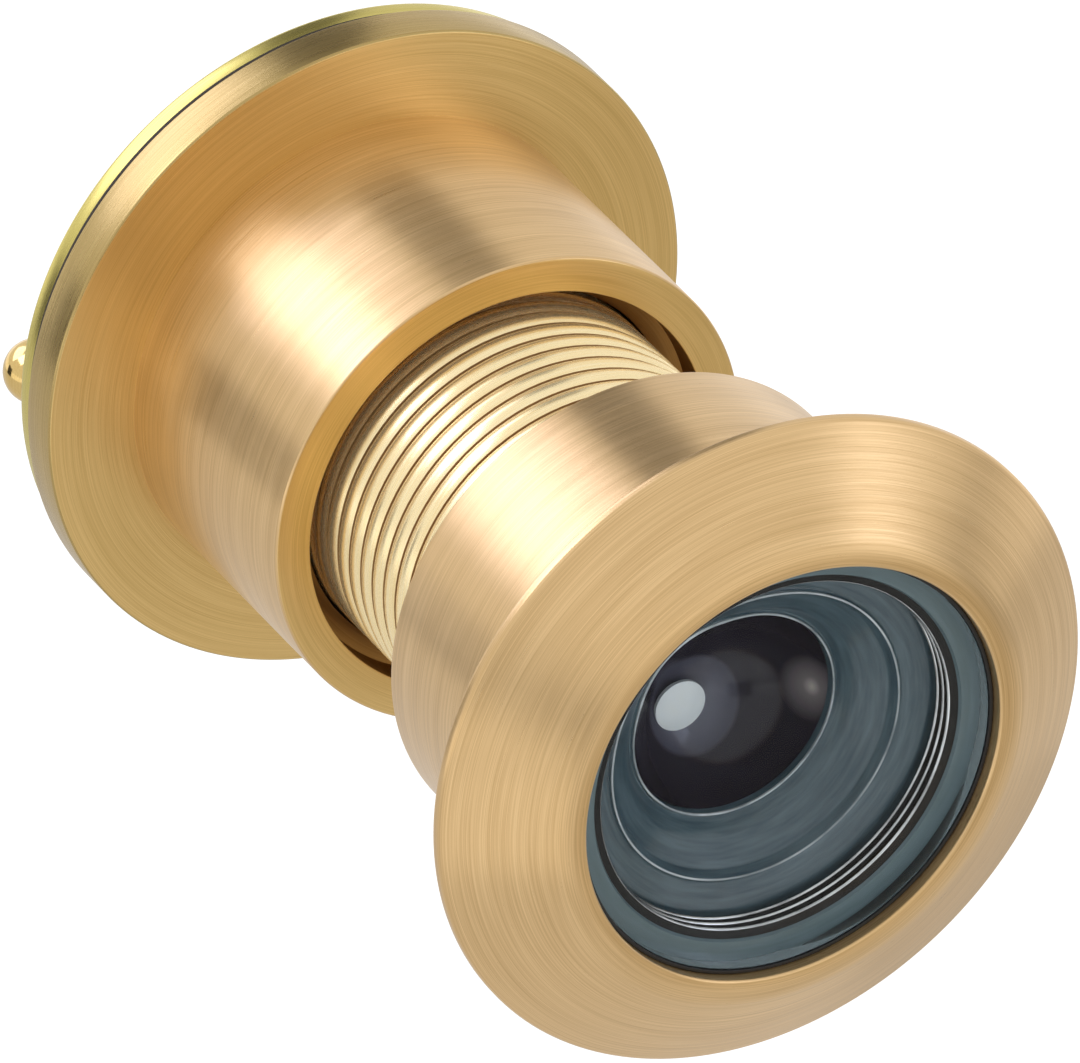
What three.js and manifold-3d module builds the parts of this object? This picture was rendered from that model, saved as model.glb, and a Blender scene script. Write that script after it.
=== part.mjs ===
// Wide-angle door viewer, millimetres, +Z up.
// The optical axis is Y: the outer flange looks to -Y and the swing cover is at +Y.
// The origin is the centre of the hole in the door, on the door's outer face.
import * as THREE from "three";
import Module from "manifold-3d";
import { mergeVertices } from "three/addons/utils/BufferGeometryUtils.js";

const wasm = await Module();
wasm.setup();

// Overall sizes.
const FLANGE_R = 19.0; // both flanges
const DOOR_SHOWN = 42.3; // door thickness the two halves are set to
const BARREL_R = 13.92; // collar and sleeve, which fill the hole in the door
const COLLAR_LENGTH = 13.93; // plain collar behind the outer flange
const SLEEVE_LENGTH = 15.83; // plain sleeve in front of the inner flange

// Outer housing.
const RIM_BAND = 0.6; // straight edge of the outer flange
const CONE_HEIGHT = 3.6; // from the straight edge to the lip
const LIP_WIDTH = 1.1; // flat ring round the opening
const OPENING_R = 12.23; // opening and lens pocket
const COLLAR_WALL = 1.0; // least wall round the lens pocket
const POCKET_DEPTH = 14.6; // big lens pocket, from the lip
const TUBE_END = 34.3; // end of the threaded tube
const THREAD_R = 10.75; // crests of the outside thread
const THREAD_DEPTH = 0.65;
const THREAD_PITCH = 1.25;
const TUBE_BORE_R = 8.8;
const LEDGE_R = 7.6; // ledge between the pocket and the tube's bore
const LEDGE_LENGTH = 1.8;

// Inner housing.
const INNER_FLANGE_THICK = 2.41;
const SLEEVE_FILLET = 0.4;
const MOUTH_STEP = 0.51; // plain mouth of the sleeve, outside the thread, on the radius
const MOUTH_DEPTH = 2.0;
const THREAD_PLAY = 0.1; // inside thread crests to outside thread crests, on the radius
const INSIDE_THREAD_DEPTH = 0.5;
const EYE_LEDGE = 0.6;
const EYE_LEDGE_R = 7.2;
const EYE_POCKET_R = 8.5;
const EYE_POCKET_DEPTH = 2.21;

// Lenses, rings and gaps.
const GAP = 0.2; // along the axis, between neighbours
const SIDE_PLAY = 0.08; // on the radius, a piece in its pocket
const SEAL_WIDTH = 0.35;
const FRONT_LENS_EDGE = 1.2;
const FRONT_LENS_SINK = 0.75; // lens edge below the lip
const FRONT_LENS_DOME = 0.5;
const FRONT_SPACER_LENGTH = 1.6;
const FRONT_SPACER_WALL = 1.5;
const FUNNEL_R = 10.2; // wide end of the second lens's funnel
const STEP_R = 7.75; // ring where the funnel changes slope
const STEP_DEPTH = 1.2;
const BOWL_R = 5.2; // deep bowl in the second lens
const BOWL_DEPTH = 3.25; // bowl's rim below the funnel's wide end
const SECOND_LENS_EDGE = 6.0;
const SECOND_LENS_TAIL_PLAY = 1.15; // tail of the second lens in its cell, on the radius
const CELL_WALL = 2.6;
const THIRD_LENS_EDGE = 3.0;
const REAR_SPACER_LENGTH = 3.8;
const REAR_SPACER_WALL = 1.2;
const FOURTH_LENS_EDGE = 2.4;
const STOP_THICK = 0.7;
const STOP_HOLE_R = 5.6;
const LENS_RING_THICK = 2.0;
const LENS_RING_HOLE_R = 6.9;
const EYE_SEAL_THICK = 0.35;
const EYE_LENS_EDGE = 0.75;
const EYE_LENS_DOME = 1.0;
const EYE_RING_THICK = 0.6;
const SPANNER_SLOT = 1.2;

// Swing cover.
const COVER_R = 18.55;
const COVER_THICK = 1.4;
const COVER_GAP = 0.4;
const COVER_CHAMFER = 0.25;
const PIVOT_R = 15.5; // pivot, from the axis
const RIVET_R = 1.2;
const RIVET_DEPTH = 1.6; // rivet in the inner flange
const RIVET_HEAD_R = 2.4;
const RIVET_HEAD_HEIGHT = 1.1;
const RUNNING_PLAY = 0.05; // rivet and knob in their holes, on the radius
const WASHER_R = 3.0;
const WASHER_THICK = 0.2;
const KNOB_R = 16.4; // knob, from the axis
const KNOB_BALL_R = 1.78;
const KNOB_STAND = 2.2; // ball centre behind the cover
const KNOB_NECK_R = 1.0;
const KNOB_TAIL_R = 0.7;

// Stations along the axis that follow from the sizes above.
const LIP_Y = -RIM_BAND - CONE_HEIGHT;
const POCKET_Y = LIP_Y + POCKET_DEPTH;
const BORE_Y = POCKET_Y + LEDGE_LENGTH;
const INNER_SEAT_Y = DOOR_SHOWN;
const INNER_BACK_Y = INNER_SEAT_Y + INNER_FLANGE_THICK;
const MOUTH_Y = INNER_SEAT_Y - SLEEVE_LENGTH;
const COVER_FRONT_Y = INNER_BACK_Y + COVER_GAP;
const COVER_BACK_Y = COVER_FRONT_Y + COVER_THICK;

// Radii that follow from the sizes above.
const pocketR = Math.min(OPENING_R, BARREL_R - COLLAR_WALL);
const threadRoot = THREAD_R - THREAD_DEPTH;
const insideCrest = THREAD_R + THREAD_PLAY;
const insideRoot = insideCrest + INSIDE_THREAD_DEPTH;
const mouthR = insideRoot + Math.min(MOUTH_STEP, (BARREL_R - insideRoot) / 2);

const satinBrass = new THREE.MeshStandardMaterial({ color: 0xc8a573, roughness: 0.35, metalness: 1 });
const polishedBrass = new THREE.MeshStandardMaterial({ color: 0xd8bb86, roughness: 0.15, metalness: 1 });
const opticalGlass = new THREE.MeshStandardMaterial({ color: 0x41555c, roughness: 0.05, metalness: 0 });
const blackMetal = new THREE.MeshStandardMaterial({ color: 0x1c1c1e, roughness: 0.5, metalness: 0.6 });
const sealRubber = new THREE.MeshStandardMaterial({ color: 0x101010, roughness: 0.85, metalness: 0 });
const springSteel = new THREE.MeshStandardMaterial({ color: 0xb8babd, roughness: 0.3, metalness: 1 });

const viewer = new THREE.Group();
viewer.name = "door_viewer";

function add(name, geometry, material) {
  const mesh = new THREE.Mesh(geometry, material);
  mesh.name = name;
  viewer.add(mesh);
}

// A solid of revolution about Y from [radius, y] pairs. A ring's outline closes on itself.
function turned(points, segments = 36) {
  const outline = points.map(([r, y]) => new THREE.Vector2(r, y));
  if (points[0][0] > 0) outline.push(outline[0].clone());
  return new THREE.LatheGeometry(outline, segments);
}

// Points on an arc of a sphere's section, from the rim (r = rim) to the axis (r = 0) or back.
function dome(rim, rimY, sag, steps = 4) {
  const radius = (rim * rim + sag * sag) / (2 * Math.abs(sag));
  const points = [];
  for (let i = 0; i <= steps; i++) {
    const r = rim * (1 - i / steps);
    const height = Math.sqrt(radius * radius - r * r) - Math.sqrt(radius * radius - rim * rim);
    points.push([r, rimY + Math.sign(sag) * height]);
  }
  return points;
}

function solid(geometry) {
  const bare = geometry.clone();
  bare.deleteAttribute("normal");
  bare.deleteAttribute("uv");
  const merged = mergeVertices(bare, 1e-4);
  return new wasm.Manifold(
    new wasm.Mesh({
      numProp: 3,
      vertProperties: merged.attributes.position.array,
      triVerts: new Uint32Array(merged.index.array),
    }),
  );
}

function geometryOf(made) {
  const mesh = made.getMesh();
  const geometry = new THREE.BufferGeometry();
  geometry.setAttribute("position", new THREE.BufferAttribute(mesh.vertProperties, 3));
  geometry.setIndex(new THREE.BufferAttribute(mesh.triVerts, 1));
  geometry.computeVertexNormals();
  return geometry;
}

// A pin or a hole whose axis is parallel to Y, from y0 to y1.
function rod(radius, y0, y1, x, z = 0, segments = 24) {
  const geometry = new THREE.CylinderGeometry(radius, radius, y1 - y0, segments);
  geometry.translate(x, (y0 + y1) / 2, z);
  return geometry;
}

function block(width, y0, y1, depth) {
  const geometry = new THREE.BoxGeometry(width, y1 - y0, depth);
  geometry.translate(0, (y0 + y1) / 2, 0);
  return geometry;
}

// Zigzag outline of a thread: crests and roots at whole turns between two stations.
function threadOutline(crest, root, from, to) {
  const points = [];
  const turns = Math.floor(Math.abs(to - from) / THREAD_PITCH - 0.5);
  const step = (Math.sign(to - from) * THREAD_PITCH) / 2;
  for (let i = 0; i <= 2 * turns; i++) {
    points.push([i % 2 ? crest : root, from + step * (i + 0.5)]);
  }
  return points;
}

// Outer half: one turned piece with the flange, the collar and the threaded tube.
add(
  "outer_housing",
  turned([
    [pocketR, POCKET_Y],
    [pocketR, LIP_Y],
    [pocketR + LIP_WIDTH, LIP_Y],
    [FLANGE_R, -RIM_BAND],
    [FLANGE_R, 0],
    [BARREL_R, 0],
    [BARREL_R, COLLAR_LENGTH],
    [threadRoot, COLLAR_LENGTH],
    ...threadOutline(THREAD_R, threadRoot, COLLAR_LENGTH, TUBE_END),
    [threadRoot, TUBE_END],
    [TUBE_BORE_R, TUBE_END],
    [TUBE_BORE_R, BORE_Y],
    [LEDGE_R, BORE_Y],
    [LEDGE_R, POCKET_Y],
  ], 48),
  satinBrass,
);

// Front lens in its seal, just below the lip.
const frontLensY = LIP_Y + FRONT_LENS_SINK;
const frontLensBack = frontLensY + FRONT_LENS_EDGE;
const sealOuter = pocketR - SIDE_PLAY;
const frontLensR = sealOuter - SEAL_WIDTH - SIDE_PLAY;
add(
  "front_seal",
  turned([
    [sealOuter - SEAL_WIDTH, frontLensBack],
    [sealOuter - SEAL_WIDTH, frontLensY],
    [sealOuter, frontLensY],
    [sealOuter, frontLensBack],
  ]),
  sealRubber,
);
add(
  "front_lens",
  turned([
    ...dome(frontLensR, frontLensY, -FRONT_LENS_DOME).reverse(),
    [frontLensR, frontLensBack],
    ...dome(frontLensR - 1.2, frontLensBack, -0.6),
  ]),
  opticalGlass,
);

// Ridged black spacer behind the front lens.
const spacerY = frontLensBack + GAP;
const spacerBack = spacerY + FRONT_SPACER_LENGTH;
const spacerOuter = pocketR - SIDE_PLAY;
const spacerInner = spacerOuter - FRONT_SPACER_WALL;
const ridge = FRONT_SPACER_LENGTH / 8;
add(
  "front_spacer",
  turned([
    [spacerOuter, spacerY],
    [spacerOuter, spacerBack],
    [spacerInner, spacerBack],
    [spacerInner + 0.45, spacerBack - ridge],
    [spacerInner + 0.05, spacerBack - 2 * ridge],
    [spacerInner + 0.5, spacerBack - 3 * ridge],
    [spacerInner + 0.1, spacerBack - 4 * ridge],
    [spacerInner + 0.55, spacerBack - 5 * ridge],
    [spacerInner + 0.15, spacerBack - 6 * ridge],
    [spacerInner + 0.6, spacerBack - 7 * ridge],
    [spacerInner + 0.2, spacerY],
  ]),
  blackMetal,
);

// Second lens: a funnel that steps down to a deep bowl.
const secondY = spacerBack + GAP;
const secondEdgeBack = secondY + SECOND_LENS_EDGE;
const secondR = pocketR - SIDE_PLAY;
const secondTailR = secondR - CELL_WALL - SECOND_LENS_TAIL_PLAY;
const bowlRimY = secondY + BOWL_DEPTH;
const secondBack = POCKET_Y - GAP;
add(
  "second_lens",
  turned([
    ...dome(BOWL_R, bowlRimY, 0.75 * BOWL_R).reverse(),
    [STEP_R, secondY + STEP_DEPTH],
    [FUNNEL_R, secondY],
    [secondR, secondY],
    [secondR, secondEdgeBack],
    [secondTailR, secondEdgeBack],
    [secondTailR - 1.0, secondBack],
    [0, secondBack],
  ]),
  opticalGlass,
);

// Black cell that the second lens rests on.
const cellY = secondEdgeBack + GAP;
add(
  "lens_cell",
  turned([
    [secondR, cellY],
    [secondR, POCKET_Y - GAP],
    [secondR - CELL_WALL, POCKET_Y - GAP],
    [secondR - CELL_WALL, cellY],
  ]),
  blackMetal,
);

// Rear lens group in the tube's bore, up to its retaining ring.
const boreFit = TUBE_BORE_R - SIDE_PLAY;
const thirdY = BORE_Y + GAP;
const thirdBack = thirdY + THIRD_LENS_EDGE;
add(
  "third_lens",
  turned([
    ...dome(boreFit - 1.6, thirdY, 1.3).reverse(),
    [boreFit, thirdY],
    [boreFit, thirdBack],
    [0, thirdBack],
  ]),
  opticalGlass,
);
const rearSpacerY = thirdBack + GAP;
const rearSpacerBack = rearSpacerY + REAR_SPACER_LENGTH;
add(
  "rear_spacer",
  turned([
    [boreFit - REAR_SPACER_WALL, rearSpacerBack],
    [boreFit - REAR_SPACER_WALL, rearSpacerY],
    [boreFit, rearSpacerY],
    [boreFit, rearSpacerBack],
  ]),
  blackMetal,
);
const fourthY = rearSpacerBack + GAP;
const fourthBack = fourthY + FOURTH_LENS_EDGE;
add(
  "fourth_lens",
  turned([
    ...dome(boreFit - REAR_SPACER_WALL - 0.3, fourthY, -1.4).reverse(),
    [boreFit, fourthY],
    [boreFit, fourthBack],
    ...dome(boreFit - 0.6, fourthBack, -0.8),
  ]),
  opticalGlass,
);
const stopY = fourthBack + GAP;
add(
  "field_stop",
  turned([
    [STOP_HOLE_R, stopY + STOP_THICK],
    [STOP_HOLE_R, stopY],
    [boreFit, stopY],
    [boreFit, stopY + STOP_THICK],
  ]),
  blackMetal,
);

// A ring with a spanner slot on each side of its rear face.
function slottedRing(outer, inner, y0, y1) {
  const ring = solid(
    turned([
      [inner, y1],
      [inner, y0],
      [outer, y0],
      [outer, y1],
    ]),
  );
  const slot = solid(block(3 * outer, (y0 + y1) / 2, y1 + 1, SPANNER_SLOT));
  return geometryOf(ring.subtract(slot));
}

const lensRingY = stopY + STOP_THICK + GAP;
add(
  "lens_retaining_ring",
  slottedRing(boreFit, LENS_RING_HOLE_R, lensRingY, lensRingY + LENS_RING_THICK),
  blackMetal,
);

// Inner half: one turned piece with the flange, the sleeve and the inside thread.
const eyeLedgeY = INNER_BACK_Y - EYE_POCKET_DEPTH - EYE_LEDGE;
const fillet = [];
for (let i = 0; i <= 4; i++) {
  const angle = (i / 4) * (Math.PI / 2);
  fillet.push([
    BARREL_R + SLEEVE_FILLET * (1 - Math.cos(angle)),
    INNER_SEAT_Y - SLEEVE_FILLET * (1 - Math.sin(angle)),
  ]);
}
const innerTurned = solid(
  turned([
    [mouthR, MOUTH_Y],
    [BARREL_R, MOUTH_Y],
    ...fillet,
    [FLANGE_R, INNER_SEAT_Y],
    [FLANGE_R, INNER_BACK_Y],
    [EYE_POCKET_R, INNER_BACK_Y],
    [EYE_POCKET_R, INNER_BACK_Y - EYE_POCKET_DEPTH],
    [EYE_LEDGE_R, INNER_BACK_Y - EYE_POCKET_DEPTH],
    [EYE_LEDGE_R, eyeLedgeY],
    [insideRoot, eyeLedgeY],
    ...threadOutline(insideCrest, insideRoot, eyeLedgeY, MOUTH_Y + MOUTH_DEPTH),
    [insideCrest, MOUTH_Y + MOUTH_DEPTH],
    [mouthR, MOUTH_Y + MOUTH_DEPTH],
  ], 48),
);
const rivetFloor = INNER_BACK_Y - RIVET_DEPTH;
const rivetHole = solid(rod(RIVET_R + RUNNING_PLAY, rivetFloor - 0.15, INNER_BACK_Y + 1, PIVOT_R));
add("inner_housing", geometryOf(innerTurned.subtract(rivetHole)), satinBrass);

// Eyepiece: seal, lens and ring in the pocket of the inner flange.
const eyeFit = EYE_POCKET_R - SIDE_PLAY;
const eyeSealY = INNER_BACK_Y - EYE_POCKET_DEPTH + 0.05;
const eyeLensY = eyeSealY + EYE_SEAL_THICK + 0.05;
const eyeRingY = eyeLensY + EYE_LENS_EDGE + 0.05;
add(
  "eyepiece_seal",
  turned([
    [EYE_LEDGE_R + 0.15, eyeSealY + EYE_SEAL_THICK],
    [EYE_LEDGE_R + 0.15, eyeSealY],
    [eyeFit, eyeSealY],
    [eyeFit, eyeSealY + EYE_SEAL_THICK],
  ]),
  sealRubber,
);
add(
  "eyepiece_lens",
  turned([
    ...dome(EYE_LEDGE_R - 0.1, eyeLensY, -EYE_LENS_DOME).reverse(),
    [eyeFit, eyeLensY],
    [eyeFit, eyeLensY + EYE_LENS_EDGE],
    [0, eyeLensY + EYE_LENS_EDGE],
  ]),
  opticalGlass,
);
add(
  "eyepiece_retaining_ring",
  slottedRing(eyeFit, EYE_LEDGE_R - 0.2, eyeRingY, eyeRingY + EYE_RING_THICK),
  satinBrass,
);

// Swing cover on its rivet, with a friction washer under it and a ball knob opposite.
const cover = solid(
  turned([
    [0, COVER_FRONT_Y],
    [COVER_R, COVER_FRONT_Y],
    [COVER_R, COVER_BACK_Y - COVER_CHAMFER],
    [COVER_R - COVER_CHAMFER, COVER_BACK_Y],
    [0, COVER_BACK_Y],
  ], 48),
);
const pivotHole = solid(rod(RIVET_R + RUNNING_PLAY, COVER_FRONT_Y - 1, COVER_BACK_Y + 1, PIVOT_R));
const knobHole = solid(rod(KNOB_TAIL_R + RUNNING_PLAY, COVER_FRONT_Y - 1, COVER_BACK_Y + 1, -KNOB_R));
add("cover_plate", geometryOf(cover.subtract(pivotHole).subtract(knobHole)), polishedBrass);

function beside(geometry, x) {
  geometry.translate(x, 0, 0);
  return geometry;
}
const headY = COVER_BACK_Y + 0.1;
add(
  "cover_pivot_rivet",
  beside(
    turned(
      [
        [0, rivetFloor],
        [RIVET_R, rivetFloor],
        [RIVET_R, headY],
        [RIVET_HEAD_R, headY],
        ...dome(RIVET_HEAD_R, headY + 0.3, RIVET_HEAD_HEIGHT - 0.3, 4),
      ],
      24,
    ),
    PIVOT_R,
  ),
  polishedBrass,
);
const washerY = INNER_BACK_Y + (COVER_GAP - WASHER_THICK) / 2;
add(
  "cover_friction_washer",
  beside(
    turned(
      [
        [RIVET_R + 0.1, washerY + WASHER_THICK],
        [RIVET_R + 0.1, washerY],
        [WASHER_R, washerY],
        [WASHER_R, washerY + WASHER_THICK],
      ],
      24,
    ),
    PIVOT_R,
  ),
  springSteel,
);
const ballY = COVER_BACK_Y + KNOB_STAND;
const neckAngle = Math.asin(KNOB_NECK_R / KNOB_BALL_R);
const ball = [];
for (let i = 0; i <= 10; i++) {
  const angle = neckAngle + (i / 10) * (Math.PI - neckAngle);
  const r = i === 10 ? 0 : KNOB_BALL_R * Math.sin(angle);
  ball.push([r, ballY - KNOB_BALL_R * Math.cos(angle)]);
}
add(
  "cover_knob",
  beside(
    turned(
      [
        [0, COVER_FRONT_Y + 0.05],
        [KNOB_TAIL_R, COVER_FRONT_Y + 0.05],
        [KNOB_TAIL_R, COVER_BACK_Y + 0.05],
        [KNOB_NECK_R, COVER_BACK_Y + 0.05],
        ...ball,
      ],
      24,
    ),
    -KNOB_R,
  ),
  polishedBrass,
);

export default viewer;
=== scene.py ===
# %% [markdown]
# # A brass door viewer
# Two turned brass halves screw together through a door. The outer half holds the wide lens
# stack, and the inner half has an eyepiece and a small swing cover with a ball knob.
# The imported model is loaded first: it gives the moving bodies and every position, so the
# pieces made below can be placed by its boxes and never need to be fitted by eye.

# %% Load the frame
import math

import bmesh
import bpy
from mathutils import Matrix, Vector


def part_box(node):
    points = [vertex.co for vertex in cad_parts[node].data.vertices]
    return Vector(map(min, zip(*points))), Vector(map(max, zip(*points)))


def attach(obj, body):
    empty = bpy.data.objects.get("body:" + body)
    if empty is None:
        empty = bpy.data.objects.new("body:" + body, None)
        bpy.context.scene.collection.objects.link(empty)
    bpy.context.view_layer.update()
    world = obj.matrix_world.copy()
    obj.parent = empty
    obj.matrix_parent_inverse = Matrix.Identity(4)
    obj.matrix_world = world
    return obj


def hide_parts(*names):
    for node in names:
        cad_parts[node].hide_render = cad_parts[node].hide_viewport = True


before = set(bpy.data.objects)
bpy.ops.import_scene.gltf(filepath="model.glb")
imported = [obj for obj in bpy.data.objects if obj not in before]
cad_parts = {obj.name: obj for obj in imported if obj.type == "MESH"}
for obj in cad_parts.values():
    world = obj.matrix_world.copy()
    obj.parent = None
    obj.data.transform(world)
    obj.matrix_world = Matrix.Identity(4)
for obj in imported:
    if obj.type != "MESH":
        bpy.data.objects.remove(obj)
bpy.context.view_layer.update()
MM = 0.001

# %% [markdown]
# ## Camera
# The object lies along Y with its outer flange towards -Y. A level camera with a long lens
# looks at it from the front left and above and a long way off, so that the perspective is
# very slight. The camera is placed from the middle of the inner flange by
# offsets across, up and back, and it needs no shift.

# %% Camera
CAMERA_AZIMUTH = math.radians(-28.80)
CAMERA_ELEVATION = math.radians(33.24)
CAMERA_LENS = 772.0
CAMERA_ACROSS = 9.25 * MM
CAMERA_UP = -9.75 * MM
CAMERA_BACK = 1.2293

inner_low, inner_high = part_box("inner_housing")
outer_low, outer_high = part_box("outer_housing")
cover_low, cover_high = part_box("cover_plate")
FLANGE_R = outer_high.x / MM
DOOR = 42.3 * MM
camera_right = Vector((math.cos(CAMERA_AZIMUTH), math.sin(CAMERA_AZIMUTH), 0))
camera_toward = Vector(
    (
        math.sin(CAMERA_AZIMUTH) * math.cos(CAMERA_ELEVATION),
        -math.cos(CAMERA_AZIMUTH) * math.cos(CAMERA_ELEVATION),
        math.sin(CAMERA_ELEVATION),
    )
)
camera_over = camera_toward.cross(camera_right)
camera = bpy.data.objects.new("camera", bpy.data.cameras.new("camera"))
camera.data.lens = CAMERA_LENS
camera.data.sensor_width = 36
camera.data.clip_start = 0.05
camera.data.clip_end = 20
camera.location = (
    Vector((0, DOOR, 0))
    + camera_right * CAMERA_ACROSS
    + camera_over * CAMERA_UP
    + camera_toward * CAMERA_BACK
)
camera.rotation_euler = camera_toward.to_track_quat("Z", "Y").to_euler()
bpy.context.collection.objects.link(camera)
bpy.context.scene.camera = camera
print("camera", [round(v, 4) for v in camera.location])

# %% [markdown]
# ## A lathe in code
# Nearly every piece of a door viewer is turned, so one helper does what a lathe does. An
# outline of a few vertices is drawn in the XY plane, its corners are rounded with a vertex
# bevel, and the spin operator carries it round the Y axis. Spinning is better than joining
# cylinders, because the piece is one closed skin and the corners catch the light.

# %% Lathe helper
SMOOTH_BELOW = math.radians(28)


def outline_wire(shape, outline, closed):
    """Draw an outline of (radius, y, corner) in millimetres and round its corners."""
    dots = [shape.verts.new((r * MM, y * MM, 0)) for r, y, _ in outline]
    for a, b in zip(dots, dots[1:]):
        shape.edges.new((a, b))
    if closed:
        shape.edges.new((dots[-1], dots[0]))
    for corner in sorted({c for _, _, c in outline if c}):
        round_these = [d for d, (_, _, c) in zip(dots, outline) if c == corner]
        bmesh.ops.bevel(
            shape,
            geom=round_these,
            offset=corner * MM,
            offset_type="OFFSET",
            segments=4,
            profile=0.5,
            affect="VERTICES",
            material=-1,
        )


def spin_round(shape, steps, centre_x=0.0):
    """Carry everything in the bmesh once round an axis parallel to Y."""
    if centre_x:
        bmesh.ops.translate(shape, vec=(centre_x * MM, 0, 0), verts=shape.verts[:])
    bmesh.ops.spin(
        shape,
        geom=shape.verts[:] + shape.edges[:],
        cent=(centre_x * MM, 0, 0),
        axis=(0, 1, 0),
        dvec=(0, 0, 0),
        angle=math.tau,
        steps=steps,
        use_merge=True,
    )
    bmesh.ops.remove_doubles(shape, verts=shape.verts[:], dist=1e-7)
    bmesh.ops.recalc_face_normals(shape, faces=shape.faces[:])


def finish_piece(name, shape, body, materials, replaced=()):
    """Make an object of a bmesh, give it its finish and put it on its moving body."""
    mesh = bpy.data.meshes.new(name)
    shape.to_mesh(mesh)
    shape.free()
    mesh.shade_smooth()
    mesh.set_sharp_from_angle(angle=SMOOTH_BELOW)
    piece = bpy.data.objects.new(name, mesh)
    bpy.context.collection.objects.link(piece)
    for material in materials:
        mesh.materials.append(material)
    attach(piece, body)
    if replaced:
        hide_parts(*replaced)
    print(name, len(mesh.polygons), "faces")
    return piece


def turned(name, outline, body, materials, replaced=(), steps=160, centre_x=0.0):
    """A piece of revolution. An outline whose ends lie on the axis is left open there."""
    shape = bmesh.new()
    outline_wire(shape, outline, closed=outline[0][0] > 0)
    spin_round(shape, steps, centre_x)
    return finish_piece(name, shape, body, materials, replaced)


# %% [markdown]
# ## Turned brass
# The flanges are finished on a lathe with fine abrasive, so the metal has hair-thin rings
# round the axis and spreads light across them. Two things make that look. A noise that is
# squeezed hard across the radius and along Y, but runs almost unchanged round the axis,
# draws the rings. An anisotropic metal gives the highlights: its tangent runs round the
# axis, and a quarter turn makes the blur run across the rings, as it does on real turned
# brass, where it opens into the bright fans of a turned face.

# %% Material helpers


def new_material(name):
    """A node material that holds only a Principled shader and its output."""
    material = bpy.data.materials.new(name)
    material.use_nodes = True
    nodes = material.node_tree.nodes
    links = material.node_tree.links
    return material, nodes, links, nodes["Principled BSDF"]


def ring_vector(nodes, links, across, along, around):
    """A 4D texture place: (radius, y, one direction round) and, as W, the other."""
    place = nodes.new("ShaderNodeTexCoord")
    apart = nodes.new("ShaderNodeSeparateXYZ")
    links.new(place.outputs["Object"], apart.inputs[0])
    flat = nodes.new("ShaderNodeCombineXYZ")
    links.new(apart.outputs["X"], flat.inputs["X"])
    links.new(apart.outputs["Z"], flat.inputs["Z"])
    length = nodes.new("ShaderNodeVectorMath")
    length.operation = "LENGTH"
    links.new(flat.outputs[0], length.inputs[0])
    unit = nodes.new("ShaderNodeVectorMath")
    unit.operation = "NORMALIZE"
    links.new(flat.outputs[0], unit.inputs[0])
    turn = nodes.new("ShaderNodeSeparateXYZ")
    links.new(unit.outputs[0], turn.inputs[0])

    def scaled(socket, factor):
        times = nodes.new("ShaderNodeMath")
        times.operation = "MULTIPLY"
        times.inputs[1].default_value = factor
        links.new(socket, times.inputs[0])
        return times.outputs[0]

    joined = nodes.new("ShaderNodeCombineXYZ")
    links.new(scaled(length.outputs["Value"], across), joined.inputs["X"])
    links.new(scaled(apart.outputs["Y"], along), joined.inputs["Y"])
    links.new(scaled(turn.outputs["X"], around), joined.inputs["Z"])
    return joined.outputs[0], scaled(turn.outputs["Z"], around)


def ring_noise(nodes, links, across, along, around, detail=2.0):
    """Noise drawn out into rings round the Y axis, with no seam."""
    vector, w = ring_vector(nodes, links, across, along, around)
    noise = nodes.new("ShaderNodeTexNoise")
    noise.noise_dimensions = "4D"
    noise.inputs["Scale"].default_value = 1.0
    noise.inputs["Detail"].default_value = detail
    noise.inputs["Roughness"].default_value = 0.6
    links.new(vector, noise.inputs["Vector"])
    links.new(w, noise.inputs["W"])
    return noise.outputs[0]


def ramp(nodes, links, source, stops):
    """A colour ramp from (position, colour) pairs."""
    node = nodes.new("ShaderNodeValToRGB")
    elements = node.color_ramp.elements
    while len(elements) < len(stops):
        elements.new(0.5)
    for element, (position, colour) in zip(elements, stops):
        element.position = position
        element.color = (*colour, 1)
    links.new(source, node.inputs[0])
    return node.outputs[0]


def span(nodes, links, source, low, high):
    """Stretch a value from 0..1 to low..high."""
    node = nodes.new("ShaderNodeMapRange")
    node.inputs["To Min"].default_value = low
    node.inputs["To Max"].default_value = high
    links.new(source, node.inputs["Value"])
    return node.outputs[0]


# %% [markdown]
# ## One recipe for every brass
# All the brass pieces share one recipe, so they look like one metal. Three sizes of ring are
# mixed: fine ones for the roughness and the relief, finer hairs for the colour, and broad
# faint bands that stop the colour from looking even. A thin lacquer is the coat.

# %% Brass recipe
RINGS_PER_METRE = 9000.0
HAIRS_FINER = 2.3
BANDS_COARSER = 9
BAND_SHARE = 0.25
HAIR_SHARE = 0.75
DARK_STOP, LIGHT_STOP = 0.36, 0.64
QUARTER_TURN = 0.25
LACQUER_ROUGHNESS = 0.3


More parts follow.
